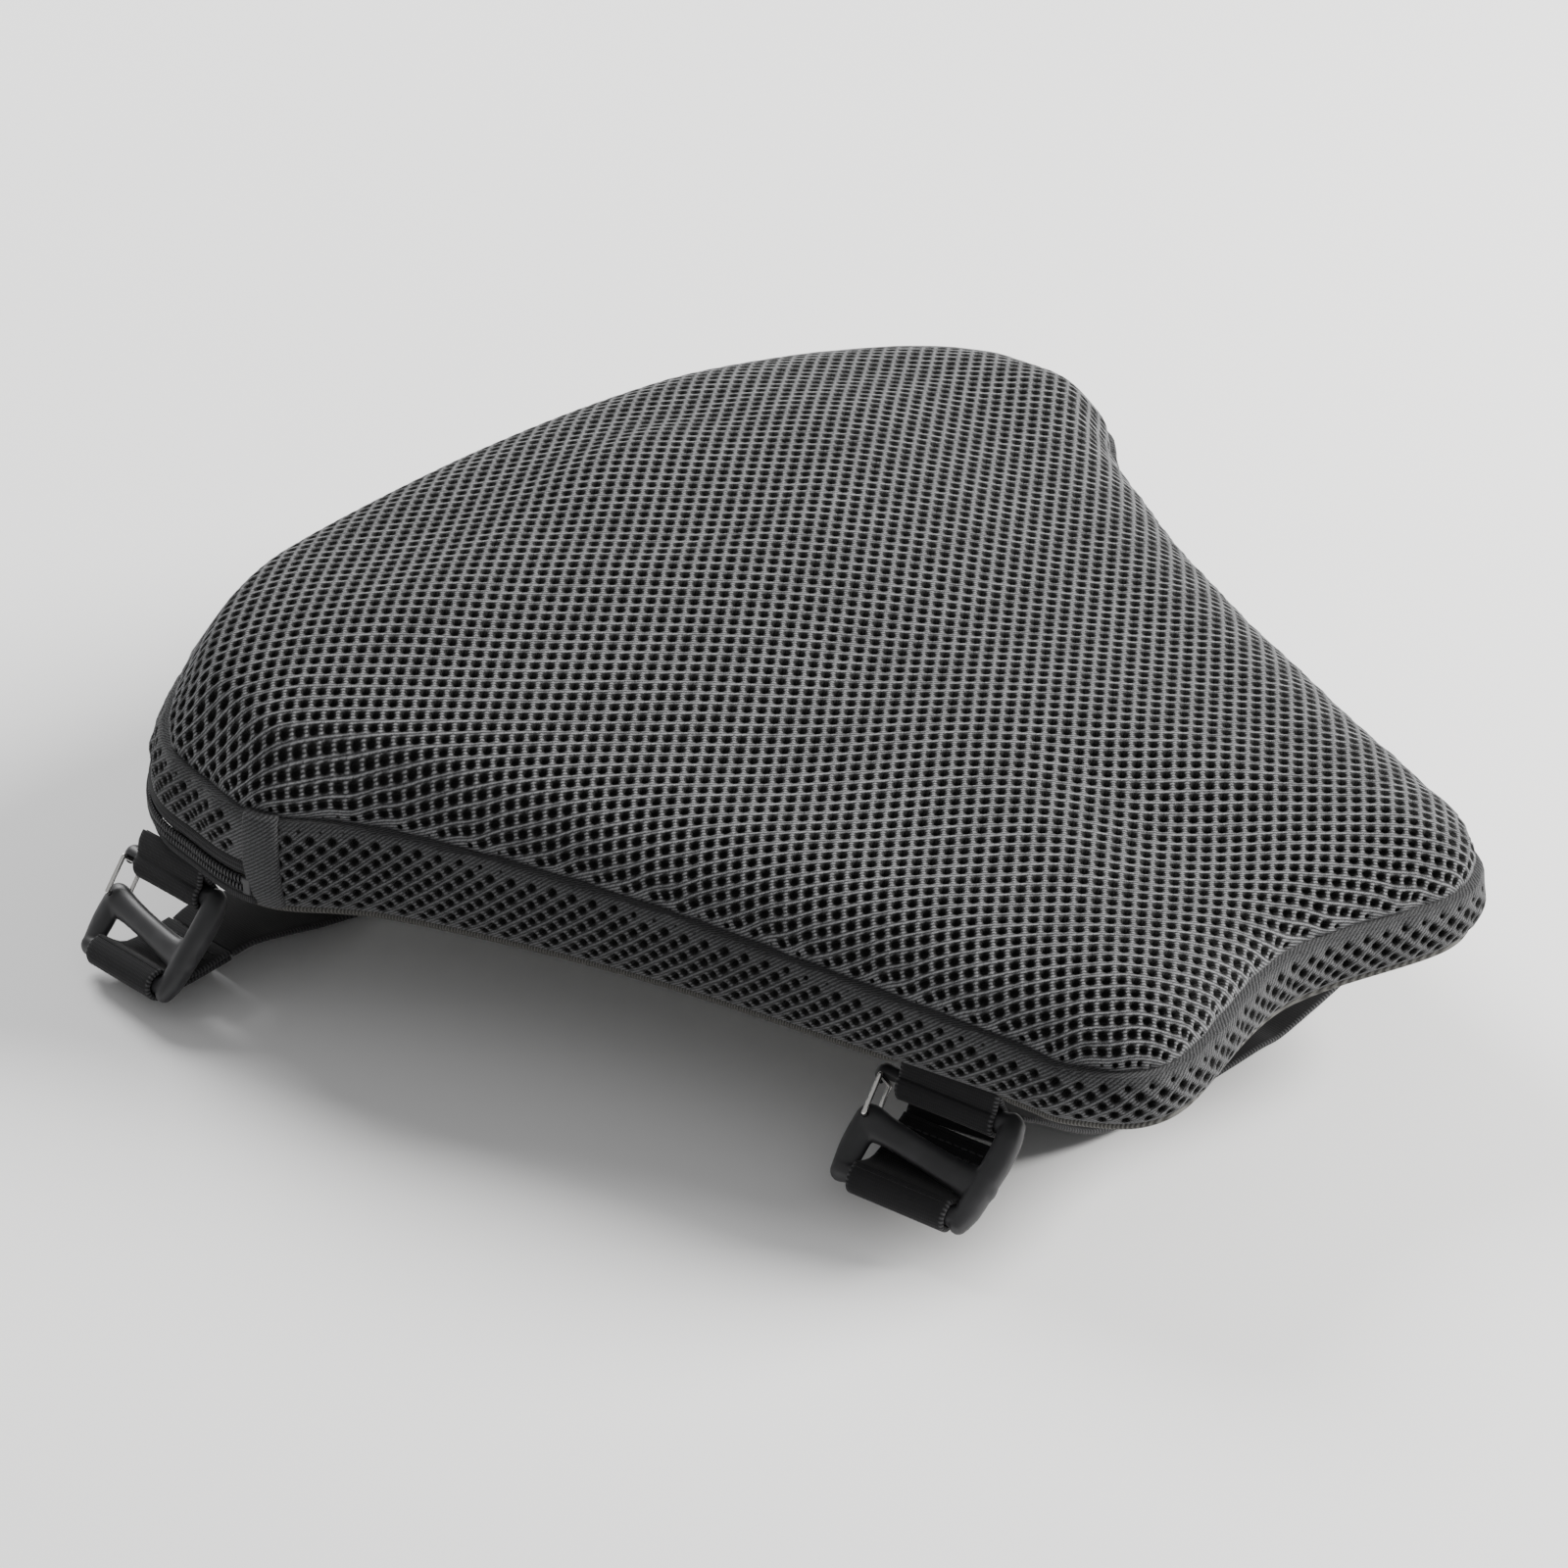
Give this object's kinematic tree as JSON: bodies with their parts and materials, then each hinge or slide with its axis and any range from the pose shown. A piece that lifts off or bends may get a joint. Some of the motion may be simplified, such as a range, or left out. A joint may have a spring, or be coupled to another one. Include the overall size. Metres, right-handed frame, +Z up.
{
  "type": "strap-on support cushion",
  "caption": "Saddle-shaped foam support cushion in a zipped spacer-mesh cover, with elastic straps and gated hook buckles.",
  "frame": {"origin": "middle of the flat underside, on its plane", "axes": "+Z up out of the rounded top, +Y towards the wide rear end, +X across; the buckles hang on the -X side"},
  "size_m": [0.3642, 0.3476, 0.0974],
  "materials": {
    "foam": "soft open-cell foam",
    "spacer_mesh": "matte warp-knit spacer mesh, grey and black yarn",
    "ribbed_base": "fine ribbed non-slip fabric",
    "zip_tape": "matte woven tape",
    "zip_coil": "satin moulded coil",
    "zip_metal": "satin black enamel",
    "webbing": "matte woven elastic",
    "buckle_plastic": "fine moulded satin",
    "gate_wire": "polished wire",
    "thread": "matte sewing thread"
  },
  "bodies": {
    "cushion": {"foam_core": "foam", "top_panel": "spacer_mesh", "side_band": "spacer_mesh", "band_join": "spacer_mesh", "base_panel": "ribbed_base", "zip_tape_upper": "zip_tape", "zip_tape_lower": "zip_tape", "zip_coil_upper": "zip_coil", "zip_coil_lower": "zip_coil", "zip_bottom_stop": "zip_coil", "zip_top_stops": "zip_coil", "front_tab": "webbing", "front_strap": "webbing", "front_anchor_stitch": "thread", "rear_tab": "webbing", "rear_strap": "webbing", "rear_anchor_stitch": "thread"},
    "zip_slider": {"zip_slider": "zip_metal"},
    "zip_pull": {"zip_pull": "zip_metal"},
    "front_buckle": {"front_buckle": "buckle_plastic", "front_strap_end": "webbing", "front_bartack": "thread"},
    "front_gate": {"front_gate": "gate_wire"},
    "rear_buckle": {"rear_buckle": "buckle_plastic", "rear_strap_end": "webbing", "rear_bartack": "thread"},
    "rear_gate": {"rear_gate": "gate_wire"}
  },
  "joints": [
    {"name": "zip_slide", "type": "hinge", "parent": "cushion", "child": "zip_slider", "pos_m": [0, -0.28, 0.009], "axis": [0, 0, 1], "range_deg": [0, 24]},
    {"name": "zip_pull_swing", "type": "hinge", "parent": "zip_slider", "child": "zip_pull", "pos_m": [0.09474, 0.16636, 0.009], "axis": [0, 0, -1], "range_deg": [0, 165]},
    {"name": "front_buckle_swing", "type": "hinge", "parent": "cushion", "child": "front_buckle", "pos_m": [-0.0839, -0.1198, -0.008], "axis": [-0.2079, 0.9781, 0], "range_deg": [-15, 25], "stiffness_Nm_per_rad": 0.04, "springref_deg": 1.15, "deforming": ["front_strap"]},
    {"name": "front_gate_snap", "type": "hinge", "parent": "front_buckle", "child": "front_gate", "pos_m": [-0.09774, -0.10332, -0.01535], "axis": [0.5749, 0.1222, -0.809], "range_deg": [0, 18], "stiffness_Nm_per_rad": 0.004, "springref_deg": -5.73},
    {"name": "rear_buckle_swing", "type": "hinge", "parent": "cushion", "child": "rear_buckle", "pos_m": [-0.1685, 0.1035, -0.008], "axis": [0, 0.9962, -0.0872], "range_deg": [-4, 25], "stiffness_Nm_per_rad": 0.04, "springref_deg": 1.15, "deforming": ["rear_strap"]},
    {"name": "rear_gate_snap", "type": "hinge", "parent": "rear_buckle", "child": "rear_gate", "pos_m": [-0.17718, 0.12164, -0.01861], "axis": [0.7193, -0.0605, -0.692], "range_deg": [0, 18], "stiffness_Nm_per_rad": 0.004, "springref_deg": -5.73}
  ]
}
